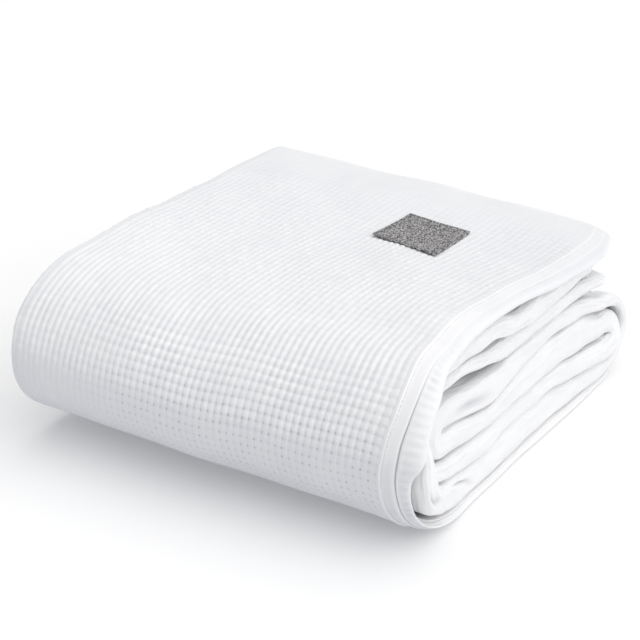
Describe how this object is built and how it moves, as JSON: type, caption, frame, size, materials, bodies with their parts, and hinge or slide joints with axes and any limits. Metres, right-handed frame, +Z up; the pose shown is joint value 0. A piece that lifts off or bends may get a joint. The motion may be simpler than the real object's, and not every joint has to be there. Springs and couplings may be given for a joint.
{
  "type": "folded coverlet",
  "caption": "White waffle-weave coverlet, pleated lengthwise and folded into a soft bundle with a round front, open layered edge and a bare grey cloth label on top.",
  "frame": {"origin": "middle of the folded bundle's box, on the surface that it lies on", "axes": "+Z up, the round front fold towards -Y, the open pleats and the hem towards +X"},
  "size_m": [0.357, 0.396, 0.1554],
  "materials": {
    "waffle_cloth": "soft matt waffle weave",
    "label_cloth": "matt speckled weave"
  },
  "bodies": {
    "root": {"coverlet_cloth": "waffle_cloth", "label_patch": "label_cloth"}
  },
  "joints": []
}
